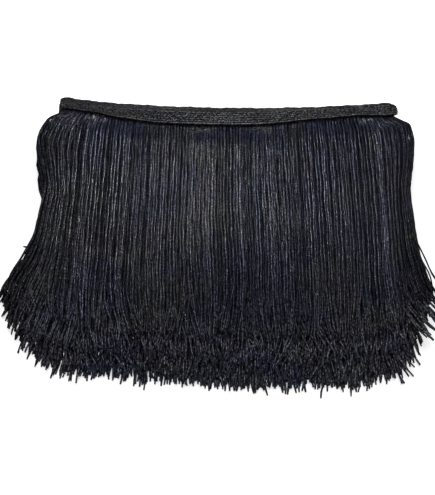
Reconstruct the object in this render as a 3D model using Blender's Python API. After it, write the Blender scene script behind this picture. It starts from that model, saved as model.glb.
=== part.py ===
"""A length of black chainette fringe trim, folded back and forth into a flat hank and laid on its back.

The knitted heading is one long tape in six runs, one over the other, joined by round folds at their ends.
Each run carries a row of twisted cords, which hang from its lower edge and here lie out on the surface
below it. The cords of a run are built as locks of a few cords each, fused at their roots into a narrow
strip along the tape.

+X runs along the trim, +Y from the tips to the heading and +Z up. The origin is on the surface under the
middle of the lowest run of the heading.
"""

import math
import random
from collections import namedtuple

import bmesh
import bpy

MM = 0.001

# The heading: a knitted tape with a thick braided band below and a thinner selvage above it.
TAPE_WIDTH = 10.0 * MM
TAPE_THICKNESS = 2.0 * MM
SELVAGE_WIDTH = 3.0 * MM
SELVAGE_THICKNESS = 1.3 * MM
SELVAGE_STEP = 0.4 * MM
HALF_RUN = 97.1 * MM
CUT_END_PAST = 4.4 * MM
RUN_PITCH = 3.8 * MM
STATIONS_PER_RUN = 10
STEPS_PER_FOLD = 6

# The cords: what all the rows of locks share.
PIECE_GAP = 0.3 * MM
STRIP_WIDTH = 1.5 * MM
LOCK_GAP = 0.45 * MM
THICK_TO_Y = -12.0 * MM
THIN_BY_Y = -150.0 * MM
THINNER_AT_TIPS = 0.16
THICK_TO_X = 70.0 * MM
THIN_BY_X = 130.0 * MM
THINNER_AT_SIDES = 0.35
FAN_OUT = 0.02
TIP_BOW = 7.0 * MM
SIDE_TIP_Y = -97.0 * MM
SWELL_FROM = 0.60
SWELL_CURVE = 1.5
SPLAY_FROM = 0.74
SPLAY_CURVE = 1.15
SHORTER_CURVE = 3.2
SWAY = 1.3 * MM
SWAY_TURNS = 0.9
SWAY_ACROSS = 4.0
RAGGED = 4.5 * MM
SEED = 2340

# One row for each run of the trim, from the surface up. Lengths are in mm, taken at the middle of the run:
# where the tape's upper edge lies, how far its two ends curve up, how much higher its left end is than its
# middle, and where the cords end. Spread multiplies how far the outermost cords stand out at the sides.
Run = namedtuple("Run", "name upper_y bow lean tip_y locks spread phase")
RUNS = (
    Run("fringe_1", 5.0, 6.5, 2.0, -151.5, 46, 1.00, 0.0),
    Run("fringe_2", 8.8, 7.4, 2.4, -147.0, 46, 0.92, 2.1),
    Run("fringe_3", 11.8, 6.2, 1.6, -143.0, 46, 1.02, 4.0),
    Run("fringe_4", 16.6, 6.8, 2.0, -138.5, 46, 0.95, 5.2),
    Run("fringe_5", 23.3, 5.4, 1.3, -133.5, 46, 1.00, 1.2),
    Run("fringe_6", 17.5, 6.9, -0.2, -129.0, 70, 0.96, 3.3),
)

# How wide the tape of the top run shows, as a share of its width. It rolls under at its cut end, where it
# looks narrow, and again a little before the fold. The runs below it keep their full width.
Width = namedtuple("Width", "x share")
TOP_WIDTHS = (
    Width(-101.5, 0.40),
    Width(-83.0, 0.47),
    Width(-64.0, 0.76),
    Width(-40.0, 0.97),
    Width(15.0, 1.00),
    Width(54.0, 0.76),
    Width(74.0, 0.74),
    Width(97.1, 0.96),
)

# One row for each ring of a lock, from its root to its tip. Along is the share of the lock's length. Swell
# and splay are how far the outermost cords stand out to the left and right, in mm: swell is the round
# shoulder below the folds, and splay the spread of the ends. Fill is the share of the pitch that a lock
# takes up, rise the share of a layer's thickness, and stray how far a lock wanders sideways, in mm.
Ring = namedtuple("Ring", "along swell_left swell_right splay_left splay_right fill rise stray")
RINGS = (
    Ring(0.00, 0.0, 0.0, 0.0, 0.0, 0.84, 0.45, 0.00),
    Ring(0.06, 15.5, 11.0, 0.0, 0.0, 0.86, 1.00, 0.00),
    Ring(0.19, 18.5, 12.0, 0.0, 0.0, 0.86, 1.00, 0.10),
    Ring(0.45, 12.0, 6.5, 0.0, 0.0, 0.86, 1.00, 0.20),
    Ring(0.76, 6.0, 3.5, 10.5, 4.5, 0.80, 0.95, 0.40),
    Ring(1.00, 3.0, 1.0, 31.0, 17.0, 0.26, 0.45, 1.20),
)

# Colours as they look in daylight: the tape is a charcoal knit, the cords are a blue-black.
HEADING_COLOUR = (0.030, 0.030, 0.034, 1.0)
HEADING_ROUGHNESS = 0.85
FRINGE_COLOUR = (0.010, 0.011, 0.017, 1.0)
FRINGE_ROUGHNESS = 0.60


def clear_scene():
    for old in list(bpy.data.objects):
        bpy.data.objects.remove(old, do_unlink=True)


def cloth_material(name, colour, roughness):
    material = bpy.data.materials.new(name)
    material.use_nodes = True
    shader = material.node_tree.nodes["Principled BSDF"]
    shader.inputs["Base Color"].default_value = colour
    shader.inputs["Roughness"].default_value = roughness
    shader.inputs["Metallic"].default_value = 0.0
    material.diffuse_color = colour
    return material


def object_from(name, bm, material):
    bmesh.ops.recalc_face_normals(bm, faces=bm.faces)
    mesh = bpy.data.meshes.new(name)
    bm.to_mesh(mesh)
    bm.free()
    mesh.materials.append(material)
    made = bpy.data.objects.new(name, mesh)
    bpy.context.scene.collection.objects.link(made)
    return made


def shown_width(level, x):
    """The width of the tape at a place along one run, read between the rows of the table."""
    if level < len(RUNS) - 1:
        return TAPE_WIDTH
    for low, high in zip(TOP_WIDTHS, TOP_WIDTHS[1:]):
        if x <= high.x * MM:
            part = (x / MM - low.x) / (high.x - low.x)
            return TAPE_WIDTH * (low.share + (high.share - low.share) * smooth(max(0.0, part)))
    return TAPE_WIDTH * TOP_WIDTHS[-1].share


def tape_edges(level, x):
    """(lower, upper) edge in y of a run of tape seen from above: a shallow smile with its ends raised."""
    run = RUNS[level]
    across = x / HALF_RUN
    upper = (run.upper_y + run.bow * across**2 - run.lean * across) * MM
    return upper - shown_width(level, x), upper


def smooth(part):
    return part * part * (3 - 2 * part)


def run_stations(level, heading_right, start, end):
    """(x, edges, z, direction angle) of the tape along one run, in the direction that the tape takes."""
    first, last = (start, end) if heading_right else (end, start)
    angle = 0.0 if heading_right else math.pi
    stations = []
    for i in range(STATIONS_PER_RUN):
        x = first + (last - first) * i / (STATIONS_PER_RUN - 1)
        stations.append((x, tape_edges(level, x), level * RUN_PITCH + TAPE_THICKNESS / 2, angle))
    return stations


def fold_stations(level, side):
    """The half turn at one end of a run that takes the tape down from it to the run below."""
    radius = RUN_PITCH / 2
    centre_x = side * HALF_RUN
    centre_z = level * RUN_PITCH + TAPE_THICKNESS / 2 - radius
    above = tape_edges(level, centre_x)
    below = tape_edges(level - 1, centre_x)
    stations = []
    for i in range(1, STEPS_PER_FOLD):
        part = i / STEPS_PER_FOLD
        turn = math.pi * part
        x = centre_x + side * radius * math.sin(turn)
        z = centre_z + radius * math.cos(turn)
        edges = [a + (b - a) * smooth(part) for a, b in zip(above, below)]
        angle = -turn if side > 0 else math.pi + turn
        stations.append((x, edges, z, angle))
    return stations


def tape_section():
    """The tape's cross-section as (share of the width, out of the face): a thick band, a thinner selvage."""
    band_top = 1 - SELVAGE_WIDTH / TAPE_WIDTH
    step = SELVAGE_STEP / TAPE_WIDTH
    thick = TAPE_THICKNESS / 2
    thin = SELVAGE_THICKNESS / 2
    front = [(0.0, thick), (band_top - step, thick), (band_top, thin), (1.0, thin)]
    back = [(across, -out) for across, out in reversed(front)]
    return front + back


def tape_path():
    """The whole tape from the cut end of the top run to the cut end of the lowest one."""
    top = len(RUNS) - 1
    path = []
    for level in range(top, -1, -1):
        heading_right = (top - level) % 2 == 0
        start = -HALF_RUN
        if level in (0, top):
            start -= CUT_END_PAST
        path += run_stations(level, heading_right, start, HALF_RUN)
        if level > 0:
            path += fold_stations(level, 1 if heading_right else -1)
    return path


def make_heading(material):
    """The folded tape: its section carried along its path, joined ring to ring and closed at the cut ends."""
    bm = bmesh.new()
    section = tape_section()
    rings = []
    for x, (lower, upper), z, angle in tape_path():
        out_x = -math.sin(angle)
        out_z = math.cos(angle)
        ring = []
        for share, out in section:
            y = lower + share * (upper - lower)
            ring.append(bm.verts.new((x + out * out_x, y, z + out * out_z)))
        rings.append(ring)
    sides = len(section)
    for before, after in zip(rings, rings[1:]):
        for i in range(sides):
            j = (i + 1) % sides
            bm.faces.new((before[i], before[j], after[j], after[i]))
    bm.faces.new(rings[0])
    bm.faces.new(reversed(rings[-1]))
    return object_from("heading", bm, material)


def past(across, start, curve):
    """0 up to the start, then rising to 1 at the side of the hank."""
    return max(0.0, (abs(across) - start) / (1 - start)) ** curve


def layer_pitch(x, y):
    """How thick one run of the fringe lies here: thinner towards the tips, and where the sides spread."""
    at_tips = max(0.0, (THICK_TO_Y - y) / (THICK_TO_Y - THIN_BY_Y))
    at_side = max(0.0, (abs(x) - THICK_TO_X) / (THIN_BY_X - THICK_TO_X)) ** 2
    return RUN_PITCH * (1 - THINNER_AT_TIPS * at_tips) * (1 - THINNER_AT_SIDES * at_side * at_tips)


def cord_place(level, across, ring):
    """(x, y) of a cord at one of its rings, for a cord that leaves the tape at this place across the hank."""
    run = RUNS[level]
    along = ring.along
    root_x = across * HALF_RUN
    root_y = tape_edges(level, root_x)[0] - PIECE_GAP - STRIP_WIDTH
    middle_tip_y = run.tip_y * MM + TIP_BOW * across**2
    tip_y = middle_tip_y + (SIDE_TIP_Y - middle_tip_y) * past(across, SPLAY_FROM, SHORTER_CURVE)
    swell = ring.swell_left if across < 0 else ring.swell_right
    splay = ring.splay_left if across < 0 else ring.splay_right
    swell *= MM * past(across, SWELL_FROM, SWELL_CURVE)
    splay *= MM * past(across, SPLAY_FROM, SPLAY_CURVE)
    side = math.copysign(1, across)
    sway = SWAY * along * math.sin(math.tau * SWAY_TURNS * along + SWAY_ACROSS * across + run.phase)
    x = root_x * (1 + FAN_OUT * along) + side * run.spread * (swell + splay) + sway
    return x, root_y + (tip_y - root_y) * along


def lock_ring(level, across, ring, stray, longer):
    """The three corners of a lock at one of its rings: left and right on the layer below, and the ridge."""
    x, y = cord_place(level, across, ring)
    x += stray * ring.stray * MM
    y -= longer
    half_width = ring.fill * HALF_RUN / RUNS[level].locks
    left = x - half_width
    right = x + half_width
    pitch = layer_pitch(x, y)
    ridge_z = level * pitch + ring.rise * (pitch - LOCK_GAP)
    return (
        (left, y, level * layer_pitch(left, y)),
        (right, y, level * layer_pitch(right, y)),
        (x, y, ridge_z),
    )


def strip_back_edge(level):
    """The (x, y) points of the strip's back edge, which follows the tape's lower edge at a small gap."""
    points = []
    for i in range(STATIONS_PER_RUN):
        x = -HALF_RUN + 2 * HALF_RUN * i / (STATIONS_PER_RUN - 1)
        points.append((x, tape_edges(level, x)[0] - PIECE_GAP))
    return points


def make_fringe(level, material, chance):
    """One run's cords: the strip along the tape, and its locks extruded from the strip's front face."""
    run = RUNS[level]
    bm = bmesh.new()
    floor_z = level * RUN_PITCH
    strip_top = floor_z + RINGS[0].rise * (RUN_PITCH - LOCK_GAP)
    places = [(2 * i + 1) / run.locks - 1 for i in range(run.locks)]

    back = strip_back_edge(level)
    back_low = [bm.verts.new((x, y, floor_z)) for x, y in back]
    back_high = [bm.verts.new((x, y, strip_top)) for x, y in back]
    end_low = []
    end_high = []
    for x, y in (back[0], back[-1]):
        end_low.append(bm.verts.new((x, y - STRIP_WIDTH, floor_z)))
        end_high.append(bm.verts.new((x, y - STRIP_WIDTH, strip_top)))
    roots = []
    for across in places:
        corners = lock_ring(level, across, RINGS[0], 0.0, 0.0)
        roots.append([bm.verts.new(corner) for corner in corners])

    front_low = [end_low[0]]
    front_high = [end_high[0]]
    for left, right, ridge in roots:
        front_low += [left, right]
        front_high.append(ridge)
    front_low.append(end_low[1])
    front_high.append(end_high[1])

    bm.faces.new(front_low + back_low[::-1])
    bm.faces.new(front_high + back_high[::-1])
    for i in range(len(back) - 1):
        bm.faces.new((back_low[i], back_low[i + 1], back_high[i + 1], back_high[i]))
    bm.faces.new((end_low[0], back_low[0], back_high[0], end_high[0]))
    bm.faces.new((end_low[1], end_high[1], back_high[-1], back_low[-1]))
    for i in range(run.locks + 1):
        low = front_low[2 * i : 2 * i + 2]
        high = front_high[i : i + 2]
        bm.faces.new((low[0], low[1], high[1], high[0]))

    for across, root in zip(places, roots):
        stray = chance.uniform(-1, 1)
        longer = RAGGED * chance.uniform(-1, 1)
        face = bm.faces.new(root)
        for ring in RINGS[1:]:
            is_tip = ring is RINGS[-1]
            corners = lock_ring(level, across, ring, stray, longer if is_tip else 0.0)
            face = bmesh.ops.extrude_discrete_faces(bm, faces=[face])["faces"][0]
            for vert, corner in zip(face.verts, corners):
                vert.co = corner
    return object_from(run.name, bm, material)


def main():
    clear_scene()
    chance = random.Random(SEED)
    make_heading(cloth_material("heading_knit", HEADING_COLOUR, HEADING_ROUGHNESS))
    for level, run in enumerate(RUNS):
        material = cloth_material(run.name + "_cord", FRINGE_COLOUR, FRINGE_ROUGHNESS)
        make_fringe(level, material, chance)


main()
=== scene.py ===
# %% [markdown]
# # A folded length of black tassel fringe
#
# The trim is a knitted tape, the heading, with a dense row of thin twisted cords hanging from its lower
# edge. Here about 1.2 m of it is folded back and forth into six runs and laid on its back, with the cords
# combed out below the heading. The solids of the trim are already there, as a plain frame. This lesson
# dresses them: it makes the tape with its stitches, about two thousand cords, their finishes, and the
# light they are seen in.

# %% Load the frame
import math
from collections import namedtuple

import bpy
import numpy as np
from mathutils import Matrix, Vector


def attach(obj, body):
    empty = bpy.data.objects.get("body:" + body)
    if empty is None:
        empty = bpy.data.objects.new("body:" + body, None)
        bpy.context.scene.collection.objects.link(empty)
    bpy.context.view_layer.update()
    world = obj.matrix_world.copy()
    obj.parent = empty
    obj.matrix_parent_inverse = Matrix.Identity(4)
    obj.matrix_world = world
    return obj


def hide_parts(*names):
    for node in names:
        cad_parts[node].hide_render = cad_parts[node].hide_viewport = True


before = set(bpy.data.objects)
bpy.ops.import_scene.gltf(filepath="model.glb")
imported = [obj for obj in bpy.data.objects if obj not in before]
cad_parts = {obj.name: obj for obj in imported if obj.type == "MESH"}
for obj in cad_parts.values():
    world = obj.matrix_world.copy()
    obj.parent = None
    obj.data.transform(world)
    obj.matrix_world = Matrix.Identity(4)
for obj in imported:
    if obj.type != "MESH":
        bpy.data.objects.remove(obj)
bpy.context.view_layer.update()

print("nodes:", ", ".join(sorted(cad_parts)))

# %% [markdown]
# ## Sizes
#
# Lengths in this lesson are worked out in millimetres, because that is how a trimming is measured, and
# turned into metres when a mesh is made. +X runs along the trim, +Y from the tips to the heading, +Z up.
# The first table has a row for each run of the tape, from the table top up. It says where the tape's upper
# edge lies, how its ends curve up, where its cords end, and how far the outermost cords stand out.

# %% Sizes of the tape and of its six runs
MM = 0.001
TAPE_WIDTH = 10.0
TAPE_THICKNESS = 2.0
SELVAGE_WIDTH = 3.0
SELVAGE_THICKNESS = 1.3
HALF_RUN = 97.1
CUT_END_PAST = 4.4
RUN_PITCH = 3.8

Run = namedtuple("Run", "node upper_y bow lean tip_y spread phase")
RUNS = (
    Run("fringe_1", 5.0, 6.5, 2.0, -149.9, 1.00, 0.0),
    Run("fringe_2", 8.8, 7.4, 2.4, -145.8, 0.92, 2.1),
    Run("fringe_3", 11.8, 6.2, 1.6, -143.0, 1.02, 4.0),
    Run("fringe_4", 16.6, 6.8, 2.0, -138.5, 0.95, 5.2),
    Run("fringe_5", 23.3, 5.4, 1.3, -133.5, 1.00, 1.2),
    Run("fringe_6", 17.5, 6.9, -0.2, -129.0, 0.96, 3.3),
)
TOP = len(RUNS) - 1

# The top run of the tape rolls under at its cut end and a little before its fold, and shows narrower:
# each row is a place along the run and the share of the width that shows there.
TOP_WIDTHS = (
    (-101.5, 0.40), (-83.0, 0.47), (-64.0, 0.76), (-40.0, 0.97),
    (15.0, 1.0), (54.0, 0.76), (74.0, 0.74), (97.1, 0.96),
)

# How far each fold reaches past the run, from the top fold down, and how its upper corner is rounded off.
FOLD_REACH = (2.6, 4.7, 2.3, 3.0, 2.2)
CORNER_FROM = 93.0
CORNER_DROP = 0.055
LIFT_AT_LEFT = ((-102.0, 2.3), (-90.0, 1.0), (-80.0, 0.5), (97.1, 0.3))


def eased(at, table):
    """The value at each place, read between the rows of a (place, value) table with soft corners."""
    places = np.array([row[0] for row in table], float)
    values = np.array([row[1] for row in table], float)
    at = np.clip(np.asarray(at, float), places[0], places[-1])
    i = np.clip(np.searchsorted(places, at) - 1, 0, len(places) - 2)
    part = (at - places[i]) / (places[i + 1] - places[i])
    return values[i] + (values[i + 1] - values[i]) * part * part * (3 - 2 * part)


def upper_edge(level, x):
    """The upper edge of a run of tape in y, seen from above: a shallow smile."""
    run = RUNS[level]
    across = np.clip(np.asarray(x, float) / HALF_RUN, -1, 1)
    edge = run.upper_y + run.bow * across**2 - run.lean * across
    return edge + (eased(x, LIFT_AT_LEFT) if level == TOP - 1 else 0.0)


def lower_edge(level, x):
    """The lower edge of a run of tape in y, where its cords come out."""
    run = RUNS[level]
    across = np.clip(np.asarray(x, float) / HALF_RUN, -1, 1)
    width = TAPE_WIDTH * (eased(x, TOP_WIDTHS) if level == TOP else 1.0)
    return run.upper_y + run.bow * across**2 - run.lean * across - width


def bumps(x, level):
    """The small unevenness of a knitted edge, in mm."""
    x = np.asarray(x, float)
    return 0.16 * np.sin(x / 1.9 + 2.0 * level) + 0.12 * np.sin(x / 0.83 + level) + 0.14 * np.sin(x / 4.7)


def corner(x):
    """How much the upper edge comes down at the folds, in mm, and less at the left ones."""
    x = np.asarray(x, float)
    return np.where(x > 0, 1.0, 0.15) * CORNER_DROP * np.clip(np.abs(x) - CORNER_FROM, 0, None) ** 2


print("the top run's tape shows", [round(float(TAPE_WIDTH * v), 1) for _, v in TOP_WIDTHS], "mm wide")

# %% [markdown]
# ## Camera, floor and light
#
# The camera and the lights come first, so that each piece can be looked at as soon as it is made. The trim
# is seen from the side of its tips and from well above it. Black cloth needs two kinds of light. One wide
# lamp, high above, lights all of it softly and opens the shadows. Two small low lamps behind the heading,
# each aimed at the far half, draw a fine highlight along the cords of the upper fringe. The floor glows a
# little, as a lit sheet of white paper does.

# %% Camera
VIEW_HEIGHT_DEG = 60.0
VIEW_DISTANCE = 0.650
VIEW_TARGET = (-0.007, -0.064, 0.0)
VIEW_LENS = 82.2

lift = math.radians(VIEW_HEIGHT_DEG)
eye = (
    VIEW_TARGET[0],
    VIEW_TARGET[1] - VIEW_DISTANCE * math.cos(lift),
    VIEW_TARGET[2] + VIEW_DISTANCE * math.sin(lift),
)
bpy.ops.object.camera_add(location=eye, rotation=(math.pi / 2 - lift, 0, 0))
camera = bpy.context.object
camera.name = "camera"
camera.data.lens = VIEW_LENS
camera.data.sensor_width = 36.0
camera.data.clip_start = 0.01
bpy.context.scene.camera = camera
print("camera at", [round(v, 3) for v in camera.location])

# %% Light
WORLD_STRENGTH = 0.15

Lamp = namedtuple("Lamp", "name place aim width height spread_deg power")
LAMPS = (
    Lamp("lamp_behind_left", (-0.16, 0.15, 0.22), (0.075, -0.010, 0.02), 0.16, 0.03, 28.0, 0.044),
    Lamp("lamp_behind_right", (0.16, 0.15, 0.22), (-0.075, -0.010, 0.02), 0.16, 0.03, 28.0, 0.051),
    Lamp("lamp_above", (0.0, 0.02, 1.5), (0.0, -0.06, 0.0), 0.9, 0.9, 180.0, 11.0),
)

for lamp in LAMPS:
    bpy.ops.object.light_add(type="AREA", location=lamp.place)
    light = bpy.context.object
    light.name = lamp.name
    light.data.shape = "RECTANGLE"
    light.data.size = lamp.width
    light.data.size_y = lamp.height
    light.data.spread = math.radians(lamp.spread_deg)
    light.data.energy = lamp.power
    backwards = Vector(lamp.place) - Vector(lamp.aim)
    light.rotation_euler = backwards.to_track_quat("Z", "Y").to_euler()

world = bpy.data.worlds.new("studio")
world.use_nodes = True
world.node_tree.nodes["Background"].inputs["Color"].default_value = (1.0, 1.0, 1.0, 1.0)
world.node_tree.nodes["Background"].inputs["Strength"].default_value = WORLD_STRENGTH
bpy.context.scene.world = world
bpy.context.scene.view_settings.view_transform = "Standard"
print("lamps:", ", ".join(lamp.name for lamp in LAMPS))

# %% Floor
FLOOR_SIZE = 6.0
FLOOR_Z = -0.0002
FLOOR_TONE = 0.93
FLOOR_GLOW = 0.6

bpy.ops.mesh.primitive_plane_add(size=FLOOR_SIZE, location=(0, 0, FLOOR_Z))
floor = bpy.context.object
floor.name = "floor"
floor_finish = bpy.data.materials.new("floor_paper")
floor_finish.use_nodes = True
floor_shader = floor_finish.node_tree.nodes["Principled BSDF"]
floor_shader.inputs["Base Color"].default_value = (FLOOR_TONE, FLOOR_TONE, FLOOR_TONE, 1.0)
floor_shader.inputs["Roughness"].default_value = 0.9
floor_shader.inputs["Specular IOR Level"].default_value = 0.1
floor_shader.inputs["Emission Color"].default_value = (1.0, 1.0, 1.0, 1.0)
floor_shader.inputs["Emission Strength"].default_value = FLOOR_GLOW
floor.data.materials.append(floor_finish)
print("floor", FLOOR_SIZE, "m square")

# %% [markdown]
# ## Helpers for meshes
#
# Operators act on whatever is selected, and the frame comes in selected, so each step starts with the first
# helper. The next two read the points and the faces of a modelled mesh as arrays. The last one turns arrays
# back into an object, with a UV map that holds where each face lies on its cord or tape, and one number for
# each point, its tone, which in the cords and the stitches also holds painted light and shade.

# %% Helpers


def deselect():
    """Object mode, with nothing selected."""
    if bpy.context.mode != "OBJECT":
        bpy.ops.object.mode_set(mode="OBJECT")
    bpy.ops.object.select_all(action="DESELECT")


def points_of(mesh):
    """The points of a mesh, one row for each."""
    co = np.empty(len(mesh.vertices) * 3)
    mesh.vertices.foreach_get("co", co)
    return co.reshape(-1, 3)


def corners_of(mesh):
    """The point of each face corner, the first corner of each face, and how many corners each face has."""
    verts = np.empty(len(mesh.loops), np.int32)
    starts = np.empty(len(mesh.polygons), np.int32)
    totals = np.empty(len(mesh.polygons), np.int32)
    mesh.loops.foreach_get("vertex_index", verts)
    mesh.polygons.foreach_get("loop_start", starts)
    mesh.polygons.foreach_get("loop_total", totals)
    return verts, starts, totals


def object_of(name, points_mm, verts, starts, uv, tone, material):
    """An object at the origin from arrays: its points, its face corners, their UVs and the points' tones."""
    mesh = bpy.data.meshes.new(name)
    mesh.vertices.add(len(points_mm))
    mesh.vertices.foreach_set("co", (points_mm * MM).astype(np.float32).ravel())
    mesh.loops.add(len(verts))
    mesh.loops.foreach_set("vertex_index", verts.astype(np.int32))
    mesh.polygons.add(len(starts))
    mesh.polygons.foreach_set("loop_start", starts.astype(np.int32))
    mesh.polygons.foreach_set("use_smooth", np.ones(len(starts), bool))
    layer = mesh.uv_layers.new(name="UVMap")
    layer.data.foreach_set("uv", uv.astype(np.float32).ravel())
    attribute = mesh.attributes.new("tone", "FLOAT", "POINT")
    attribute.data.foreach_set("value", tone.astype(np.float32))
    mesh.materials.append(material)
    mesh.update(calc_edges=True)
    mesh.validate()
    made = bpy.data.objects.new(name, mesh)
    bpy.context.scene.collection.objects.link(made)
    return made


deselect()

# %% [markdown]
# ## Finishes
#
# Three effects are shared by the cords and the tape, so each is a node group of its own. The first is the
# knitting: columns of V-shaped stitches with grooves between, which the finishes paint dark as painted shade.
# The second is the patchy depth of a black dye, which leans to blue in some places and to charcoal or plum in
# others. It follows each point's tone, which in the cords and the stitches also holds painted light and
# shade.
# The third is lint: rare pale specks. A group gives out only colours, masks and heights, and the shader stays
# in the material.

# %% Node group helpers


def new_group(name, inputs, outputs):
    """A shader node group with named sockets: inputs are (name, kind, value) and outputs (name, kind)."""
    group = bpy.data.node_groups.new(name, "ShaderNodeTree")
    for label, kind, value in inputs:
        socket = group.interface.new_socket(name=label, in_out="INPUT", socket_type=kind)
        if value is not None:
            socket.default_value = value
    for label, kind in outputs:
        group.interface.new_socket(name=label, in_out="OUTPUT", socket_type=kind)
    return group, group.nodes.new("NodeGroupInput"), group.nodes.new("NodeGroupOutput")


def maths(tree, operation, a, b=None, c=None):
    """A Math node on links or plain numbers, and its result."""
    node = tree.nodes.new("ShaderNodeMath")
    node.operation = operation
    for socket, value in zip(node.inputs, (a, b, c)):
        if value is None:
            continue
        if isinstance(value, (int, float)):
            socket.default_value = value
        else:
            tree.links.new(value, socket)
    return node.outputs[0]


def ranged(tree, value, low, high, to_low, to_high):
    """A Map Range node, smooth and clamped."""
    node = tree.nodes.new("ShaderNodeMapRange")
    node.interpolation_type = "SMOOTHSTEP"
    tree.links.new(value, node.inputs["Value"])
    node.inputs["From Min"].default_value = low
    node.inputs["From Max"].default_value = high
    node.inputs["To Min"].default_value = to_low
    node.inputs["To Max"].default_value = to_high
    return node.outputs["Result"]


# %% Chain stitches
GROOVE_FROM = 0.72
GAP_TO = 0.5
ROUNDNESS = 0.6

chain_group, group_in, group_out = new_group(
    "chain_stitches",
    (
        ("UV", "NodeSocketVector", None),
        ("Wales", "NodeSocketFloat", 1.0),
        ("Rate", "NodeSocketFloat", 1.0),
        ("Slant", "NodeSocketFloat", 0.5),
    ),
    (("Height", "NodeSocketFloat"), ("Groove", "NodeSocketFloat")),
)
split = chain_group.nodes.new("ShaderNodeSeparateXYZ")
chain_group.links.new(group_in.outputs["UV"], split.inputs[0])
wales = maths(chain_group, "MULTIPLY", split.outputs["X"], group_in.outputs["Wales"])
wale = maths(chain_group, "FRACT", wales)
off_middle = maths(chain_group, "ABSOLUTE", maths(chain_group, "MULTIPLY_ADD", wale, 2.0, -1.0))
slanted = maths(chain_group, "MULTIPLY", off_middle, group_in.outputs["Slant"])
turns = maths(chain_group, "MULTIPLY_ADD", split.outputs["Y"], group_in.outputs["Rate"], slanted)
wave = maths(chain_group, "SINE", maths(chain_group, "MULTIPLY", turns, math.tau))
stitch = maths(chain_group, "MULTIPLY_ADD", wave, 0.5, 0.5)
edge_of_wale = ranged(chain_group, off_middle, GROOVE_FROM, 1.0, 0.0, 1.0)
between = ranged(chain_group, stitch, 0.0, GAP_TO, 1.0, 0.0)
groove = maths(chain_group, "MAXIMUM", edge_of_wale, between)
rounded = maths(chain_group, "POWER", stitch, ROUNDNESS)
inside = maths(chain_group, "SUBTRACT", 1.0, edge_of_wale)
raised = maths(chain_group, "MULTIPLY", rounded, inside)
chain_group.links.new(raised, group_out.inputs["Height"])
chain_group.links.new(groove, group_out.inputs["Groove"])
print("group", chain_group.name)

# %% The patchy dye
# Where the noise turns a patch blue or plum, and how far.
BLUE_FROM, BLUE_FULL = 0.38, 0.56
PLUM_FROM, PLUM_FULL, PLUM_SHARE = 0.50, 0.62, 0.7
# A cord's tone from 0 to 1, which also holds painted light and shade, and the noise of its fibres, make it
# deeper or paler by these factors.
TONE_DARK, TONE_LIGHT = 0.35, 1.5
FIBRE_FROM, FIBRE_FULL, FIBRE_DARK, FIBRE_LIGHT = 0.36, 0.64, 0.32, 1.85
NOISE_DETAIL = 2.0

dye_group, group_in, group_out = new_group(
    "patchy_dye",
    (
        ("Place", "NodeSocketVector", None),
        ("Tone", "NodeSocketFloat", 0.5),
        ("Charcoal", "NodeSocketColor", (0.03, 0.03, 0.03, 1.0)),
        ("Navy", "NodeSocketColor", (0.01, 0.01, 0.02, 1.0)),
        ("Plum", "NodeSocketColor", (0.015, 0.01, 0.02, 1.0)),
        ("Patch Scale", "NodeSocketFloat", 30.0),
        ("Fibre Scale", "NodeSocketFloat", 700.0),
    ),
    (("Color", "NodeSocketColor"), ("Depth", "NodeSocketFloat")),
)


def mixed(tree, factor, a, b):
    """A colour between a and b."""
    node = tree.nodes.new("ShaderNodeMix")
    node.data_type = "RGBA"
    tree.links.new(factor, node.inputs["Factor"])
    for socket, value in ((node.inputs[6], a), (node.inputs[7], b)):
        if isinstance(value, tuple):
            socket.default_value = value
        else:
            tree.links.new(value, socket)
    return node.outputs[2]


def dye_noise(scale_socket):
    """A noise on the place in the dye group, and its outputs."""
    node = dye_group.nodes.new("ShaderNodeTexNoise")
    node.inputs["Detail"].default_value = NOISE_DETAIL
    dye_group.links.new(group_in.outputs["Place"], node.inputs["Vector"])
    dye_group.links.new(scale_socket, node.inputs["Scale"])
    return node.outputs


patches = dye_noise(group_in.outputs["Patch Scale"])
second = dye_group.nodes.new("ShaderNodeSeparateColor")
dye_group.links.new(patches["Color"], second.inputs[0])
blue_share = ranged(dye_group, patches["Fac"], BLUE_FROM, BLUE_FULL, 0.0, 1.0)
plum_share = ranged(dye_group, second.outputs[1], PLUM_FROM, PLUM_FULL, 0.0, PLUM_SHARE)
dyed = mixed(dye_group, blue_share, group_in.outputs["Charcoal"], group_in.outputs["Navy"])
dyed = mixed(dye_group, plum_share, dyed, group_in.outputs["Plum"])
fibres = dye_noise(group_in.outputs["Fibre Scale"])
strength = ranged(dye_group, group_in.outputs["Tone"], 0.0, 1.0, TONE_DARK, TONE_LIGHT)
mottle = ranged(dye_group, fibres["Fac"], FIBRE_FROM, FIBRE_FULL, FIBRE_DARK, FIBRE_LIGHT)
depth = maths(dye_group, "MULTIPLY", strength, mottle)
dye_group.links.new(depth, group_out.inputs["Depth"])
toned = dye_group.nodes.new("ShaderNodeVectorMath")
toned.operation = "SCALE"
dye_group.links.new(dyed, toned.inputs[0])
dye_group.links.new(depth, toned.inputs["Scale"])
dye_group.links.new(toned.outputs[0], group_out.inputs["Color"])
print("group", dye_group.name)

# %% Lint
lint_group, group_in, group_out = new_group(
    "lint",
    (
        ("Place", "NodeSocketVector", None),
        ("Scale", "NodeSocketFloat", 250.0),
        ("Size", "NodeSocketFloat", 0.09),
        ("Share", "NodeSocketFloat", 0.06),
    ),
    (("Mask", "NodeSocketFloat"),),
)
cells = lint_group.nodes.new("ShaderNodeTexVoronoi")
lint_group.links.new(group_in.outputs["Place"], cells.inputs["Vector"])
lint_group.links.new(group_in.outputs["Scale"], cells.inputs["Scale"])
drawn = lint_group.nodes.new("ShaderNodeSeparateColor")
lint_group.links.new(cells.outputs["Color"], drawn.inputs[0])
chosen = maths(lint_group, "LESS_THAN", drawn.outputs[0], group_in.outputs["Share"])
near = maths(lint_group, "LESS_THAN", cells.outputs["Distance"], group_in.outputs["Size"])
lint_group.links.new(maths(lint_group, "MULTIPLY", chosen, near), group_out.inputs["Mask"])
print("group", lint_group.name)
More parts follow.
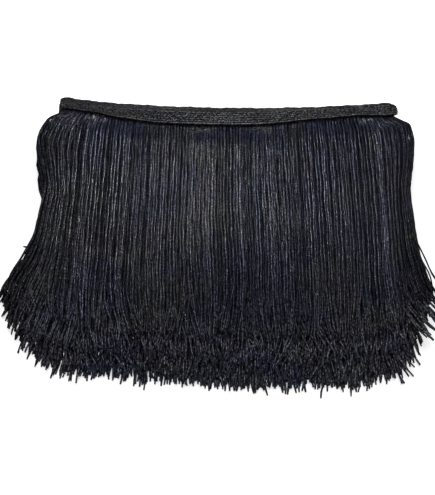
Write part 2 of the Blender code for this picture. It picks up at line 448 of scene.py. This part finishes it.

# %% [markdown]
# The three finishes are then quick to put together. Each is a rough, slightly sheeny black with the groups'
# colours, and each has its own stitch: the cords are knitted very finely, and the tape and the yarn of its
# stitches more coarsely. The lustre of the fibre is the shader's coat. Its weight comes from the groups: it
# is lower in the grooves, as painted shade, and follows the tone, which in the cords holds painted light and
# shade. Its roughness and index are the same all over, so they stay on the shader.

# %% Cord and tape finishes
Finish = namedtuple(
    "Finish",
    "name charcoal navy plum patch_scale fibre_scale wales rate slant groove bump "
    "roughness lustre gleam sheen lint",
)
CORD_FINISH = Finish(
    name="rayon_cord",
    charcoal=(0.0300, 0.0310, 0.0360),
    navy=(0.0165, 0.0195, 0.0400),
    plum=(0.0240, 0.0205, 0.0360),
    patch_scale=32.0,
    fibre_scale=700.0,
    wales=2.0,
    rate=0.50,
    slant=0.5,
    groove=0.62,
    bump=0.00009,
    roughness=0.31,
    lustre=0.30,
    gleam=(0.85, 0.89, 1.0),
    sheen=0.04,
    lint=0.06,
)
TAPE_FINISH = Finish(
    name="knit_tape",
    charcoal=(0.0225, 0.0225, 0.0240),
    navy=(0.0165, 0.0170, 0.0220),
    plum=(0.0195, 0.0185, 0.0215),
    patch_scale=60.0,
    fibre_scale=900.0,
    wales=1.0,
    rate=0.526,
    slant=0.5,
    groove=0.85,
    bump=0.00030,
    roughness=0.42,
    lustre=0.56,
    gleam=(0.95, 0.96, 1.0),
    sheen=0.06,
    lint=0.10,
)
STITCH_FINISH = TAPE_FINISH._replace(
    name="stitch_yarn",
    charcoal=(0.0240, 0.0240, 0.0255),
    navy=(0.0180, 0.0185, 0.0235),
    plum=(0.0205, 0.0200, 0.0230),
    lustre=0.43,
)


LUSTRE_IOR = 1.9
SHEEN_ROUGHNESS = 0.4
GROOVE_SHADE = (0.12, 0.12, 0.14, 1.0)
LINT_COLOR = (0.28, 0.28, 0.29, 1.0)


def yarn_material(finish):
    """A material with the three groups in it, and the finish's own values."""
    material = bpy.data.materials.new(finish.name)
    material.use_nodes = True
    tree = material.node_tree
    shader = tree.nodes["Principled BSDF"]
    shader.inputs["Roughness"].default_value = finish.roughness
    shader.inputs["Specular IOR Level"].default_value = 0.0
    shader.inputs["Coat Roughness"].default_value = finish.roughness
    shader.inputs["Coat IOR"].default_value = LUSTRE_IOR
    shader.inputs["Coat Tint"].default_value = (*finish.gleam, 1.0)
    shader.inputs["Sheen Weight"].default_value = finish.sheen
    shader.inputs["Sheen Roughness"].default_value = SHEEN_ROUGHNESS
    place = tree.nodes.new("ShaderNodeTexCoord")
    surface = tree.nodes.new("ShaderNodeUVMap")
    surface.uv_map = "UVMap"
    tone = tree.nodes.new("ShaderNodeAttribute")
    tone.attribute_name = "tone"

    dye = tree.nodes.new("ShaderNodeGroup")
    dye.node_tree = dye_group
    dye.inputs["Charcoal"].default_value = (*finish.charcoal, 1.0)
    dye.inputs["Navy"].default_value = (*finish.navy, 1.0)
    dye.inputs["Plum"].default_value = (*finish.plum, 1.0)
    dye.inputs["Patch Scale"].default_value = finish.patch_scale
    dye.inputs["Fibre Scale"].default_value = finish.fibre_scale
    tree.links.new(place.outputs["Object"], dye.inputs["Place"])
    tree.links.new(tone.outputs["Fac"], dye.inputs["Tone"])

    chain = tree.nodes.new("ShaderNodeGroup")
    chain.node_tree = chain_group
    chain.inputs["Wales"].default_value = finish.wales
    chain.inputs["Rate"].default_value = finish.rate
    chain.inputs["Slant"].default_value = finish.slant
    tree.links.new(surface.outputs["UV"], chain.inputs["UV"])

    # Painted shade: the dye's colour is multiplied towards GROOVE_SHADE in the grooves of the stitches.
    shade = tree.nodes.new("ShaderNodeMix")
    shade.data_type = "RGBA"
    shade.blend_type = "MULTIPLY"
    shade.inputs[7].default_value = GROOVE_SHADE
    in_groove = maths(tree, "MULTIPLY", chain.outputs["Groove"], finish.groove)
    tree.links.new(in_groove, shade.inputs["Factor"])
    tree.links.new(dye.outputs["Color"], shade.inputs[6])

    lint = tree.nodes.new("ShaderNodeGroup")
    lint.node_tree = lint_group
    lint.inputs["Share"].default_value = finish.lint
    tree.links.new(place.outputs["Object"], lint.inputs["Place"])
    specked = mixed(tree, lint.outputs["Mask"], shade.outputs[2], LINT_COLOR)
    tree.links.new(specked, shader.inputs["Base Color"])

    # Painted shade on the gleam: the coat is weaker in the grooves. It also follows the dye's depth, so the
    # painted light and shade of the tone reach it too.
    open_face = maths(tree, "MULTIPLY_ADD", chain.outputs["Groove"], -finish.groove, 1.0)
    gleam = maths(tree, "MULTIPLY", open_face, dye.outputs["Depth"])
    tree.links.new(maths(tree, "MULTIPLY", gleam, finish.lustre), shader.inputs["Coat Weight"])

    bump = tree.nodes.new("ShaderNodeBump")
    bump.inputs["Distance"].default_value = finish.bump
    bump.inputs["Strength"].default_value = 1.0
    tree.links.new(chain.outputs["Height"], bump.inputs["Height"])
    tree.links.new(bump.outputs["Normal"], shader.inputs["Normal"])
    return material


cord_material = yarn_material(CORD_FINISH)
tape_material = yarn_material(TAPE_FINISH)
stitch_material = yarn_material(STITCH_FINISH)
print("finishes:", cord_material.name, tape_material.name, stitch_material.name)

# %% [markdown]
# ## The heading tape
#
# The tape is flat when it comes off the machine, so it is modelled flat: a grid as long as the tape, with
# many narrow columns, extruded to a slab. Then its points are moved twice. The first move rounds its edges
# and raises its knitting: chains on its face, fine lengthwise ribs on its back. The second lays it along
# the path of the six runs and their folds. Because it is folded back and forth, the face is up in the top
# run and the back is up in the run below, which shows as a plainer strip behind it. The runs below those
# two are hidden but for their folds, so they get wider columns.

# %% The path of the tape
FINE_STEP = 0.6
HIDDEN_STEP = 1.2
FOLD_STEPS = 16


def tape_path():
    """Rows of x, lower y, upper y, z, the two parts of the face's outward direction, and length so far."""
    rows = []
    for level in range(TOP, -1, -1):
        to_right = (TOP - level) % 2 == 0
        side = 1 if to_right else -1
        start = -HALF_RUN - (CUT_END_PAST if level in (0, TOP) else 0.0)
        ends = (start, HALF_RUN) if to_right else (HALF_RUN, start)
        step = FINE_STEP if level >= TOP - 1 else HIDDEN_STEP
        for x in np.linspace(*ends, int(abs(ends[1] - ends[0]) / step)):
            z = level * RUN_PITCH + TAPE_THICKNESS / 2
            wave = bumps(x, level)
            low = lower_edge(level, x) + 0.4 * bumps(x + 50, level)
            rows.append((x, low, upper_edge(level, x) + wave - corner(x), z, 0.0, side))
        if level == 0:
            continue
        reach = FOLD_REACH[TOP - level]
        radius = RUN_PITCH / 2
        centre = side * HALF_RUN
        for i in range(1, FOLD_STEPS):
            part = i / FOLD_STEPS
            turn = math.pi * part
            late = max(0.0, 2 * part - 1) if side < 0 else part
            ease = late * late * (3 - 2 * late)
            x = centre + side * reach * math.sin(turn)
            low = lower_edge(level, x) * (1 - ease) + lower_edge(level - 1, x) * ease
            high = upper_edge(level, x) * (1 - ease) + upper_edge(level - 1, x) * ease
            z = level * RUN_PITCH + TAPE_THICKNESS / 2 - radius + radius * math.cos(turn)
            out_x = radius * math.sin(turn)
            out_z = side * reach * math.cos(turn)
            size = math.hypot(out_x, out_z)
            rows.append((x, low + 0.3 * corner(x), high - corner(x), z, out_x / size, out_z / size))
    path = np.array(rows)
    steps = np.hypot(np.diff(path[:, 0]), np.diff(path[:, 3]))
    return np.column_stack([path, np.concatenate([[0.0], np.cumsum(steps)])])


path = tape_path()


def on_tape(length, share, out):
    """Points on the folded tape: so far along it, this share of the way up its width, this far off it."""
    x, low, high, z, out_x, out_z = (np.interp(length, path[:, 6], path[:, k]) for k in range(6))
    return np.column_stack([x + out * out_x, low + share * (high - low), z + out * out_z])


# %% The flat tape
TAPE_ROWS = 30

deselect()
bpy.ops.mesh.primitive_grid_add(x_subdivisions=len(path) - 1, y_subdivisions=TAPE_ROWS, size=1.0)
flat_tape = bpy.context.object
bpy.ops.object.mode_set(mode="EDIT")
bpy.ops.mesh.select_all(action="SELECT")
bpy.ops.mesh.extrude_region_move(TRANSFORM_OT_translate={"value": (0, 0, 1)})
bpy.ops.mesh.select_all(action="SELECT")
bpy.ops.mesh.normals_make_consistent(inside=False)
deselect()
print("a slab of", len(flat_tape.data.polygons), "faces")

# %% Edges, knitting and folds
WALES = 3
STITCH_PITCH = 2.0
CHAIN_RELIEF = 0.22
RIB_RELIEF = 0.16
RIBS = 9
ROUNDED = ((0.0, 0.30), (0.8, 1.0), (TAPE_WIDTH - 0.6, 1.0), (TAPE_WIDTH, 0.40))
FACE_PAST_RUN = 5.5
FACE_LENGTH = 2 * HALF_RUN + CUT_END_PAST + FACE_PAST_RUN
BACK_PHASE = 0.75
TAPE_TONE, TONE_SWING, TONE_WAVE = 0.48, 0.10, 13.0

flat = points_of(flat_tape.data)
column = np.rint((flat[:, 0] + 0.5) * (len(path) - 1)).astype(int)
share = flat[:, 1] + 0.5
face_side = flat[:, 2] > 0.5
length = path[column, 6]
across_mm = share * TAPE_WIDTH

thick = np.where(across_mm < TAPE_WIDTH - SELVAGE_WIDTH, TAPE_THICKNESS / 2, SELVAGE_THICKNESS / 2)
thick = thick * eased(across_mm, ROUNDED)
wale = np.mod(share * WALES, 1.0)
chain = 0.5 + 0.5 * np.sin(math.tau * (length / STITCH_PITCH + 0.5 * np.abs(2 * wale - 1)))
chain = CHAIN_RELIEF * chain * np.sqrt(np.clip(np.sin(math.pi * wale), 0, 1))
ribs = RIB_RELIEF * np.abs(np.sin(math.pi * share * RIBS))
relief = np.where(face_side, chain, ribs)
folded = on_tape(length, share, np.where(face_side, 1.0, -1.0) * (thick + relief - CHAIN_RELIEF))

verts, starts, _ = corners_of(flat_tape.data)
# Painted shade: under the stitches the face gets the UV of a groove all over, so the finish darkens it.
painted_shade_under_stitches = face_side & (length < FACE_LENGTH)
uv_across = np.where(face_side, share * WALES, share * RIBS)
uv_across = np.where(painted_shade_under_stitches, 0.0, uv_across)
uv_along = np.where(face_side, length, BACK_PHASE / TAPE_FINISH.rate)
uv = np.column_stack([uv_across[verts], uv_along[verts]])
tone = TAPE_TONE + TONE_SWING * np.sin(length / TONE_WAVE)
tape = object_of("heading_tape", folded, verts, starts, uv, tone, tape_material)
bpy.data.objects.remove(flat_tape)
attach(tape, "root")
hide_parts("heading")
print("heading tape:", 2 * len(tape.data.polygons), "triangles")

# %% [markdown]
# ## The stitches of the face
#
# The knitting of the tape is coarse enough to see stitch by stitch where the face is up, so the top run
# and the fold at its end get real stitches. A knitted stitch shows as a V, two legs of yarn that meet at a
# point. One leg is modelled from a ball, drawn out to a grain and tipped, so that its head lies over the
# tail of the next one. Pairs of copies, slanted against each other, make the three chains of the tape.

# %% Model one leg of a stitch
LEG_LENGTH = 2.9
LEG_WIDTH = 1.20
LEG_HEIGHT = 0.75
LEG_TIP_DEG = 8

deselect()
bpy.ops.mesh.primitive_uv_sphere_add(segments=6, ring_count=6, radius=0.5)
leg = bpy.context.object
leg.name = "one_leg"
bpy.ops.object.mode_set(mode="EDIT")
bpy.ops.mesh.select_all(action="SELECT")
bpy.ops.transform.rotate(value=math.pi / 2, orient_axis="Y", center_override=(0, 0, 0))
bpy.ops.transform.resize(value=(LEG_LENGTH, LEG_WIDTH, LEG_HEIGHT))
bpy.ops.transform.rotate(value=math.radians(LEG_TIP_DEG), orient_axis="Y", center_override=(0, 0, 0))
deselect()
head_heights = [v.co.z for v in leg.data.vertices if v.co.x > 0.4 * LEG_LENGTH]
print("one leg:", len(leg.data.polygons), "faces, its head is", round(max(head_heights), 2), "mm up")

# %% Lay the stitches along the top run
LEGS_APART = 0.24
SLANT_DEG = 24
BOTTOM_SLANT = 0.4
LEG_LIFT = 0.10
# The stitches' tone, and the extra tone of the lowest chain: a painted highlight along the lower edge.
LEG_TONE, BOTTOM_PAINTED_HIGHLIGHT = 0.55, 0.35
# How high the tape's surface is across its width, and how it falls off at the edges, in shares of it.
SEAT = ((0.0, 1.0), (6.6, 1.0), (7.4, 0.68), (10.0, 0.62))
FLANK = ((0.0, 0.25), (0.9, 1.0), (TAPE_WIDTH - 0.9, 1.0), (TAPE_WIDTH, 0.25))

chance = np.random.default_rng(11)
stitch_count = int(FACE_LENGTH / STITCH_PITCH)
grids = np.meshgrid(np.arange(WALES), np.arange(stitch_count), (-1, 1))
row_of, place_of, side_of = (grid.ravel() for grid in grids)
total = len(row_of)
bottom = (row_of == 0) & (side_of < 0)
at_length = (place_of + 0.55 + chance.normal(0, 0.05, total)) * STITCH_PITCH
at_share = (row_of + 0.5 + LEGS_APART * side_of) / WALES + chance.normal(0, 0.003, total)
size = 1 + chance.normal(0, 0.05, total)
slant = SLANT_DEG * side_of * np.where(bottom, BOTTOM_SLANT, 1.0) + chance.normal(0, 3, total)
slant = np.radians(slant)

grain = points_of(leg.data)
grown_x = grain[None, :, 0] * size[:, None]
grown_y = grain[None, :, 1] * size[:, None]
lx = grown_x * np.cos(slant)[:, None] - grown_y * np.sin(slant)[:, None]
ly = grown_x * np.sin(slant)[:, None] + grown_y * np.cos(slant)[:, None]
lz = np.broadcast_to(grain[None, :, 2], lx.shape)
along = np.clip(at_length[:, None] + lx, 0.05, None)
across = np.clip(at_share[:, None] + ly / TAPE_WIDTH, 0.012, 0.988)
flank = eased(across * TAPE_WIDTH, FLANK)
seat = eased(across * TAPE_WIDTH, SEAT) * TAPE_THICKNESS / 2
height = (seat - CHAIN_RELIEF + LEG_LIFT) * flank + lz
placed = on_tape(along.ravel(), across.ravel(), height.ravel())

verts, starts, _ = corners_of(leg.data)
leg_uv = np.column_stack([
    np.arctan2(grain[verts, 1], grain[verts, 2]) / math.tau + 0.5,
    (0.25 + 0.6 * grain[verts, 0] / LEG_LENGTH) / STITCH_FINISH.rate,
])
all_verts = (verts[None, :] + np.arange(total)[:, None] * len(grain)).ravel()
all_starts = (starts[None, :] + np.arange(total)[:, None] * len(verts)).ravel()
all_uv = np.tile(leg_uv, (total, 1))
# Painted highlight: the legs of the lowest chain get a higher tone.
leg_tone_with_painted_highlight = np.clip(chance.normal(LEG_TONE, 0.15, total) + BOTTOM_PAINTED_HIGHLIGHT * bottom, 0, 1)
tone = np.repeat(leg_tone_with_painted_highlight, len(grain))
stitches = object_of("heading_stitches", placed, all_verts, all_starts, all_uv, tone, stitch_material)
bpy.data.objects.remove(leg)
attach(stitches, "root")
print("legs of stitches:", total, "of them,", 2 * len(stitches.data.polygons), "triangles at most")

# %% [markdown]
# ## One cord
#
# A cord is a thin tube with six sides. One is modelled by hand, standing up: a six-sided disc, extruded
# ring by ring. Its height counts rings, not millimetres, because each copy will be bent along a path of its
# own with a point for each ring. Two versions are made: one with more rings for the top run, which shows
# along its whole length, and one with fewer for the runs below it, which show only at their tips and sides.

# %% Model one cord
CORD_SIDES = 6


def model_cord(name, rings):
    """A straight cord with so many rings, one unit apart."""
    deselect()
    bpy.ops.mesh.primitive_circle_add(vertices=CORD_SIDES, radius=1.0, fill_type="NGON")
    cord = bpy.context.object
    cord.name = name
    bpy.ops.object.mode_set(mode="EDIT")
    bpy.ops.mesh.select_all(action="SELECT")
    for _ in range(rings - 1):
        bpy.ops.mesh.extrude_region_move(TRANSFORM_OT_translate={"value": (0, 0, 1)})
    bpy.ops.mesh.select_all(action="SELECT")
    bpy.ops.mesh.normals_make_consistent(inside=False)
    deselect()
    return cord


TOP_RINGS = 34
LOWER_RINGS = 24
fine_cord = model_cord("fine_cord", TOP_RINGS)
plain_cord = model_cord("plain_cord", LOWER_RINGS)
print("faces of a fine cord:", len(fine_cord.data.polygons), "of a plain one:", len(plain_cord.data.polygons))

# %% Bend copies of it along paths
CORD_FLATTER, CORD_WIDER = 0.90, 1.10


def around_of(model):
    """For each face corner of a model cord: how far round it lies, from 0 to 1, without a jump in a face."""
    points = points_of(model.data)
    verts, starts, totals = corners_of(model.data)
    turn = np.mod(np.arctan2(points[:, 1], points[:, 0]) / math.tau, 1.0)[verts]
    face = np.repeat(np.arange(len(starts)), totals)
    highest = np.zeros(len(starts))
    np.maximum.at(highest, face, turn)
    return np.where(highest[face] - turn > 0.5, turn + 1.0, turn)


def lay_cords(name, model, paths, radii, turns, tones, chance):
    """Copies of the model cord, one for each path, joined in one mesh. Paths are (cord, ring, xyz) in mm."""
    points = points_of(model.data)
    verts, starts, _ = corners_of(model.data)
    ring = np.rint(points[:, 2]).astype(int)
    forward = np.gradient(paths, axis=1)
    forward /= np.linalg.norm(forward, axis=2, keepdims=True)
    sideways = np.cross(forward, (0.0, 0.0, 1.0))
    sideways /= np.linalg.norm(sideways, axis=2, keepdims=True)
    upward = np.cross(sideways, forward)
    cos = np.cos(turns)[:, ring]
    sin = np.sin(turns)[:, ring]
    flat_x = points[:, 0] * CORD_WIDER
    flat_y = points[:, 1] * CORD_FLATTER
    a = (flat_x * cos - flat_y * sin) * radii[:, ring]
    b = (flat_x * sin + flat_y * cos) * radii[:, ring]
    placed = paths[:, ring] + a[..., None] * sideways[:, ring] + b[..., None] * upward[:, ring]

    count = len(paths)
    all_verts = (verts[None, :] + np.arange(count)[:, None] * len(points)).ravel()
    all_starts = (starts[None, :] + np.arange(count)[:, None] * len(verts)).ravel()
    steps = np.linalg.norm(np.diff(paths, axis=1), axis=2)
    length = np.concatenate([np.zeros((count, 1)), np.cumsum(steps, axis=1)], axis=1)
    uv = np.empty((count, len(verts), 2))
    uv[..., 0] = around_of(model)[None, :] + chance.random(count)[:, None]
    uv[..., 1] = length[:, ring[verts]] + 5 * chance.random(count)[:, None]
    uv = uv.reshape(-1, 2)
    tone = np.repeat(tones, len(points))
    return object_of(name, placed.reshape(-1, 3), all_verts, all_starts, uv, tone, cord_material)


# %% [markdown]
# ## How the cords lie
#
# Each cord leaves the lower edge of its tape, rises over it and runs to its tip. Cords at the sides of the
# hank swell out below the folds, come in at a waist and splay at their ends. Every cord wanders a little,
# leans on its neighbours in small bunches, and turns its tip its own way. The cords have slipped a little,
# so they end raggedly. Near the tips the stack sinks, and each tip dips by its own amount. All is worked out
# at once for every cord of a run, with chance drawn from one seed for each run. A few single cords that
# stand out at the sides are laid one by one, through a few points each.

# %% The lie of a run of cords
CORD_RADIUS = 0.51
FAN_LEFT = ((0.0, 0.0), (0.06, 7.2), (0.19, 12.0), (1.0, 12.0))
FAN_RIGHT = ((0.0, 0.0), (0.06, 6.5), (0.19, 7.5), (1.0, 7.5))
EDGE_LEFT = ((0.0, 0.0), (0.06, 4.2), (0.19, 6.0), (0.45, -2.4), (0.70, 0.2), (1.0, 17.4))
EDGE_RIGHT = ((0.0, 0.0), (0.06, 4.0), (0.19, 3.8), (0.45, -2.4), (0.76, -0.5), (1.0, 5.4))
FAN_OUT = 0.02
TIP_BOW = 7.0
LONGER = (0.0, -3.5, -3.5, -1.5, -4.6, 0.0)
SIDE_TIP_Y = -97.0
ROOT_LAP = 1.2
OUTERMOST = 0.996
EXTRA_FROM, EXTRA_REACH, EXTRA_CURVE = 0.995, 0.175, 1.6
SWAY, WANDER, LEAN = 1.3, 0.24, 0.4
TIP_SPREAD, TIP_MEAN, TIP_LONGEST, TIP_SHORTEST = 1.3, -0.6, -4.0, 2.8
BUNCH_SPREAD, BUNCH_LIMIT = 1.9, 3.6
LONG_SHARE, LONG_BY = 0.03, 3.5
FAN_FROM, FAN_CURVE = 0.60, 1.5
EDGE_FROM, EDGE_CURVE = 0.84, 1.1
SHORTER_FROM, SHORTER_LEFT, SHORTER_RIGHT = 0.74, 4.2, 3.0
THICK_TO_Y, THIN_BY_Y, THINNER_AT_TIPS = -12.0, -150.0, 0.16
THICK_TO_X, THIN_BY_X, THINNER_AT_SIDES = 70.0, 130.0, 0.35
SINK_FROM_Y, SUNK_BY_Y, SUNK_AT_TIPS = -118.0, -150.0, 0.20
TIP_DIP = 3.4
TIP_LEAN = 3.0
RISE = ((0.0, 0.0), (0.025, 0.03), (0.095, 1.0), (1.0, 1.0))
GATHER = ((0.0, 0.0), (0.25, 0.8), (1.0, 1.0))
GATHER_TIPS = ((0.0, 0.0), (0.78, 0.0), (1.0, 1.0))
LOWEST_MIDDLE = 1.45 * CORD_RADIUS


def past(across, start, curve):
    """0 up to the start, then rising to 1 at the side of the hank."""
    return np.clip((np.abs(across) - start) / (1 - start), 0.0, None) ** curve


def layer_pitch(x, y):
    """How thick one run of the fringe lies here, in mm."""
    at_tips = np.clip((THICK_TO_Y - y) / (THICK_TO_Y - THIN_BY_Y), 0.0, None)
    at_side = np.clip((np.abs(x) - THICK_TO_X) / (THIN_BY_X - THICK_TO_X), 0.0, None) ** 2
    return RUN_PITCH * (1 - THINNER_AT_TIPS * at_tips) * (1 - THINNER_AT_SIDES * at_side * at_tips)


def softened(values, times=2):
    """Values along each cord with their corners rounded, ends kept."""
    for _ in range(times):
        inner = 0.25 * values[:, :-2] + 0.5 * values[:, 1:-1] + 0.25 * values[:, 2:]
        values = np.concatenate([values[:, :1], inner, values[:, -1:]], axis=1)
    return values


def bunches(count, smallest, largest, chance):
    """The number of the bunch that each cord belongs to, from left to right."""
    sizes = chance.integers(smallest, largest + 1, count)
    return np.repeat(np.arange(count), sizes)[:count]


def drawn_together(x, group, pull, along_pull):
    """Each cord pulled towards the middle of its bunch, by its own share, more and more along its length."""
    last = group[-1] + 1
    counts = np.bincount(group, minlength=last)[:, None]
    middle = np.zeros((last, x.shape[1]))
    np.add.at(middle, group, x)
    return x + (middle[group] / counts[group] - x) * pull[group] * along_pull


Row = namedtuple("Row", "height count extra unruly")


def lay_of(level, row, rings, chance):
    """Paths of one row of cords: (cord, ring, xyz) in mm."""
    run = RUNS[level]
    evenly = (2 * np.arange(row.count) + 1) / row.count - 1
    at_side = EXTRA_FROM - EXTRA_REACH * np.linspace(0, 1, row.extra) ** EXTRA_CURVE
    across = np.sort(np.concatenate([evenly, at_side, -at_side]))
    count = len(across)
    across = across + chance.normal(0, 0.14, count) * 2 / count
    across = np.clip(across, -OUTERMOST, OUTERMOST)[:, None]
    steps = np.linspace(0, 1, rings)
    along = (steps - 0.5 * np.sin(math.tau * steps) / math.tau)[None, :]

    left = across < 0
    fan = np.where(left, eased(along, FAN_LEFT), eased(along, FAN_RIGHT))
    edge = np.where(left, eased(along, EDGE_LEFT), eased(along, EDGE_RIGHT))
    out = fan * past(across, FAN_FROM, FAN_CURVE) + edge * past(across, EDGE_FROM, EDGE_CURVE)
    root_x = across * HALF_RUN
    out = out * (1 - 0.07 * chance.random((count, 1)) ** 2)
    x = root_x * (1 + FAN_OUT * along) + np.sign(across) * run.spread * softened(out)
    x = x + SWAY * along * np.sin(math.tau * 0.9 * along + 4.0 * across + run.phase)

    few = bunches(count, 2, 5, chance)
    many = bunches(count, 5, 11, chance)
    lowest = run.tip_y + LONGER[level] + TIP_BOW * across**2 - TIP_LEAN * across
    shorter = past(across, SHORTER_FROM, np.where(left, SHORTER_LEFT, SHORTER_RIGHT))
    tip_y = lowest + (SIDE_TIP_Y - lowest) * shorter
    own = chance.normal(TIP_MEAN, TIP_SPREAD, (count, 1))
    tip_y = tip_y + np.clip(own, TIP_LONGEST, TIP_SHORTEST)
    shared = chance.normal(0, BUNCH_SPREAD, (count, 1))[many]
    tip_y = tip_y + np.clip(shared, -BUNCH_LIMIT, BUNCH_LIMIT)
    tip_y = tip_y - LONG_BY * (chance.random((count, 1)) < LONG_SHARE)
    root_y = lower_edge(level, root_x) + ROOT_LAP
    y = root_y + (tip_y - root_y) * along

    wander = chance.uniform(0, math.tau, (3, count, 1))
    pace = chance.uniform(4.5, 8.0, (count, 1))
    x = x + WANDER * np.minimum(1, 8 * along) * np.sin(pace * math.tau * along + wander[0])
    x = x + LEAN * along * np.sin(1.7 * math.tau * along + 9.0 * across + 0.25 * wander[1])
    gather = eased(along, GATHER) * (1 - 0.8 * past(across, 0.7, 1.0))
    x = drawn_together(x, few, chance.uniform(0.0, 0.22, (few[-1] + 1, 1)), gather)

    spray_from = chance.uniform(0.72, 0.88, (count, 1))
    spray = np.clip((along - spray_from) / (1 - spray_from), 0, None) ** 1.4
    loose = 0.5 if level < 2 else 1.0
    together = chance.normal(0, 1.0, (count, 1))[many]
    x = x + spray * row.unruly * (chance.normal(0, 0.6, (count, 1)) + 1.5 * loose * together)
    x = x + spray * 0.3 * row.unruly * np.sin(2.2 * math.pi * spray + wander[2])
    y = y + 0.25 * spray * row.unruly * np.abs(chance.normal(0, 1.0, (count, 1)))
    pull = loose * chance.uniform(0.0, 0.4, (many[-1] + 1, 1))
    x = drawn_together(x, many, pull, eased(along, GATHER_TIPS))

    pitch = layer_pitch(x, y)
    room = pitch - 2 * CORD_RADIUS
    place = row.height + chance.normal(0, 0.10, (count, 1)) + 0.12 * np.sin(7 * along + wander[0])
    place = place + 0.2 * spray * chance.normal(0, 1.0, (count, 1))
    sinking = np.clip((SINK_FROM_Y - y) / (SINK_FROM_Y - SUNK_BY_Y), 0.0, 1.0) ** 2
    z = (level * pitch + CORD_RADIUS + room * np.clip(place, 0.0, 1.0)) * (1 - SUNK_AT_TIPS * sinking)
    root_z = level * RUN_PITCH - 0.4
    rise = eased(along, RISE)
    z = root_z + (z - root_z) * rise - spray * chance.uniform(0.2, TIP_DIP, (count, 1))
    z = np.maximum(z, LOWEST_MIDDLE)
    return np.stack(np.broadcast_arrays(x, y, z), axis=-1)


# %% Stray cords
# Each row has the run that the cord belongs to, its height, and the few points in x and y that it passes.
Stray = namedtuple("Stray", "level z points")
STRAYS = (
    Stray(2, 9.0, ((-99.0, -48.0), (-104.6, -61.6), (-108.6, -68.4), (-112.8, -69.4), (-116.9, -68.6))),
    Stray(0, 1.0, ((-106.0, -108.0), (-111.0, -119.0), (-115.0, -126.0), (-115.7, -131.0))),
    Stray(0, 1.0, ((86.0, -112.0), (92.5, -122.0), (94.9, -129.8), (96.7, -136.3))),
    Stray(1, 2.0, ((86.0, -110.0), (94.0, -124.0), (99.4, -132.7), (102.6, -138.5))),
    Stray(0, 1.0, ((84.0, -122.0), (91.0, -136.0), (96.4, -141.6), (98.6, -144.7))),
    Stray(0, 1.0, ((84.0, -128.0), (89.6, -139.8), (91.3, -145.1), (93.4, -148.8))),
    Stray(1, 2.0, ((82.0, -126.0), (87.5, -138.0), (90.5, -143.6), (92.0, -149.4))),
)

STRAY_SOFTENING = 12


def path_of(stray, rings):
    """A smooth path with a point for each ring, through a stray cord's own few points."""
    points = np.array(stray.points)
    at = np.linspace(0, len(points) - 1, rings)
    path = np.column_stack([np.interp(at, np.arange(len(points)), points[:, k]) for k in (0, 1)])
    return np.column_stack([softened(path.T, STRAY_SOFTENING).T, np.full(rings, stray.z)])


print("stray cords:", len(STRAYS))

# %% Lay the cords of each run
# The cords of the lower runs get a higher tone: painted light, which lightens their colour and gleam where
# their tips lie out in front. Those at the sides of every run get a lower one: painted shade, as the sides of
# the hank lie in shade. The tips of the lower runs are fuller.
TOP_TONE, LOWER_PAINTED_LIGHT_TONE, TONE_SPREAD = 0.5, 0.85, 0.16
SIDE_FROM, SIDE_CURVE, SIDE_PAINTED_SHADE = 0.91, 0.8, 0.8
FULLER_TIPS = ((0.0, 1.0), (0.75, 1.0), (1.0, 1.22))
LAST_RING = 0.75
TWIST = 1.8 * math.pi

TOP_ROWS = (Row(0.0, 106, 14, 2.2), Row(0.98, 112, 9, 1.8))
LOWER_ROWS = (Row(0.05, 112, 14, 2.6), Row(0.45, 40, 4, 3.0), Row(0.95, 110, 12, 3.6))
LOWEST_ROWS = (Row(0.05, 122, 14, 1.6), Row(0.50, 112, 6, 1.8), Row(0.95, 122, 12, 2.0))

for level, run in enumerate(RUNS):
    chance = np.random.default_rng(100 + level)
    top = level == TOP
    model = fine_cord if top else plain_cord
    rings = TOP_RINGS if top else LOWER_RINGS
    rows = TOP_ROWS if top else LOWER_ROWS if level > 1 else LOWEST_ROWS
    paths = np.concatenate([lay_of(level, row, rings, chance) for row in rows])
    strays = [path_of(stray, rings)[None] for stray in STRAYS if stray.level == level]
    paths = np.concatenate([paths, *strays])
    count = len(paths)
    radii = CORD_RADIUS * (1 + 0.05 * chance.normal(0, 1, (count, rings)))
    if not top:
        radii *= eased(np.linspace(0, 1, rings), FULLER_TIPS)
    radii[:, -1] *= LAST_RING
    turns = chance.uniform(0, math.tau, (count, 1)) + np.linspace(0, TWIST, rings)[None, :]
    # Painted light and shade in the tone: higher in the lower runs, lower at the sides of the hank.
    at_root = paths[:, 0, 0] / HALF_RUN
    painted_side_shade = SIDE_PAINTED_SHADE * past(at_root, SIDE_FROM, SIDE_CURVE)
    tones = chance.normal(TOP_TONE if top else LOWER_PAINTED_LIGHT_TONE, TONE_SPREAD, count)
    tones = np.clip(tones * (1 - painted_side_shade), 0, 1)
    cords = lay_cords("cords_" + run.node[-1], model, paths, radii, turns, tones, chance)
    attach(cords, "root")
    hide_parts(run.node)
    print(cords.name, count, "cords,", 2 * len(cords.data.polygons), "triangles")

for model in (fine_cord, plain_cord):
    bpy.data.objects.remove(model)
